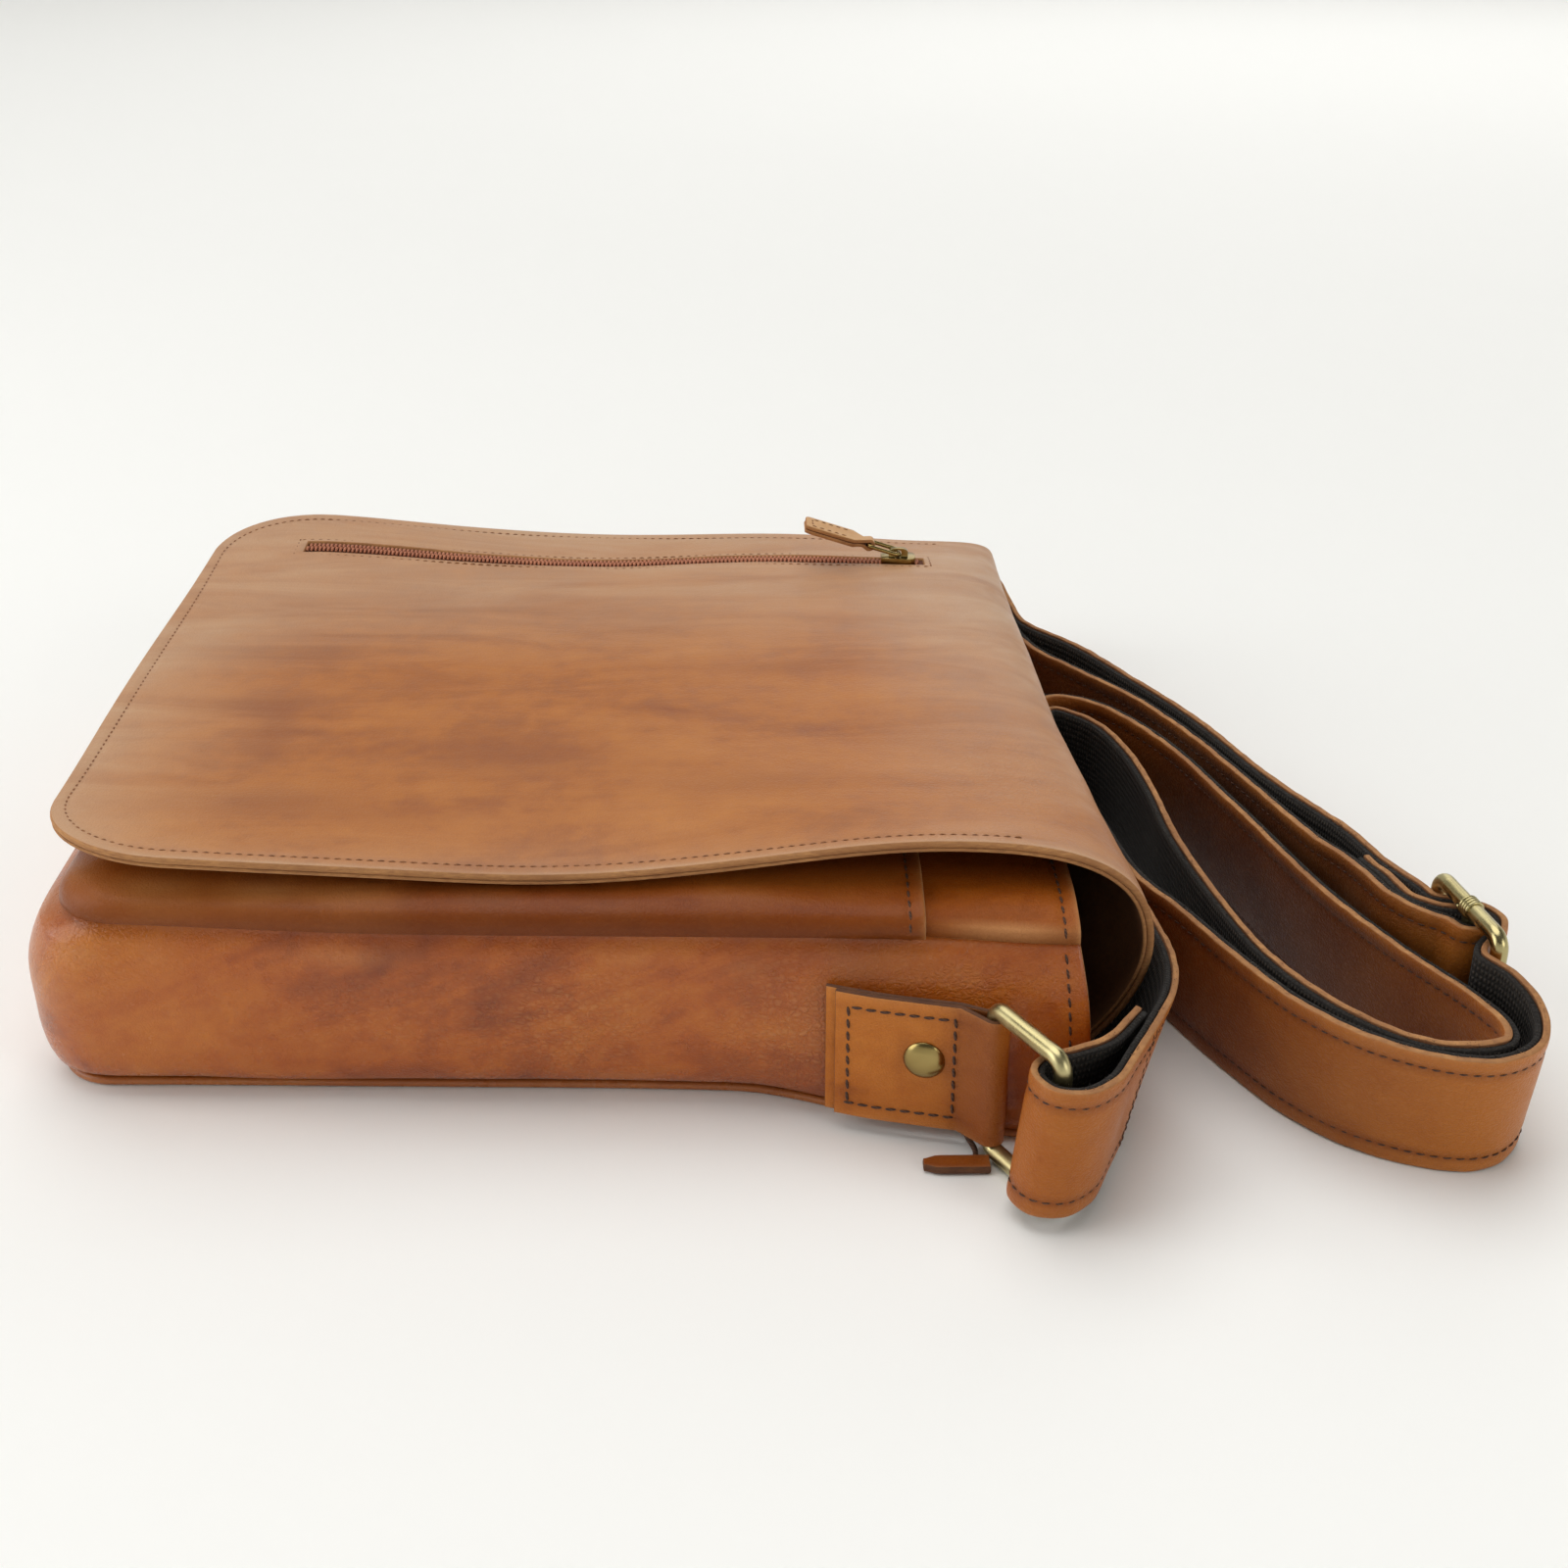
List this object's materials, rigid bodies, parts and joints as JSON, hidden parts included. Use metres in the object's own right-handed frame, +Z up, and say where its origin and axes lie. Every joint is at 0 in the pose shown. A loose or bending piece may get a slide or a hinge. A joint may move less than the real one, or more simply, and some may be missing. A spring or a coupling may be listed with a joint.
{
  "type": "leather shoulder bag",
  "caption": "Flat leather shoulder bag lying on its back, with a fold-over flap that has a zip pocket, a front pocket, brass D-rings and a long strap in leather and webbing.",
  "frame": {"origin": "on the surface that the bag lies on, under the middle of the back panel", "axes": "+X towards the mouth and the strap, +Y away from the picture's viewer, +Z up from the back panel to the flap"},
  "size_m": [0.4282, 0.3911, 0.0876],
  "materials": {
    "flap_leather": "waxed tan leather with darker smudges",
    "body_leather": "waxed russet leather",
    "lining": "raw underside",
    "zip_cloth": "brown woven tape and coil",
    "webbing": "black woven webbing",
    "brass": "antique brass"
  },
  "bodies": {
    "bag": {"gusset": "body_leather", "back_panel": "body_leather", "front_panel": "body_leather", "front_pocket": "body_leather", "flap": "flap_leather", "flap_lining": "lining", "zip_tape": "zip_cloth", "zip_teeth": "zip_cloth", "zip_slider": "brass", "tab_backing_near": "flap_leather", "tab_backing_far": "flap_leather", "strap_tab_near": "flap_leather", "strap_tab_far": "flap_leather", "d_ring_near": "brass", "d_ring_far": "brass", "rivet_near": "brass", "rivet_far": "brass", "strap_leather": "flap_leather", "strap_webbing": "webbing", "strap_slider": "brass", "rear_pull": "flap_leather"},
    "zip_puller": {"zip_bail": "brass", "zip_pull": "flap_leather"}
  },
  "joints": [
    {"name": "zip_puller_swing", "type": "hinge", "parent": "bag", "child": "zip_puller", "pos_m": [0.09303, 0.10027, 0.07481], "axis": [0, 1, 0], "range_deg": [-14, 130]}
  ]
}
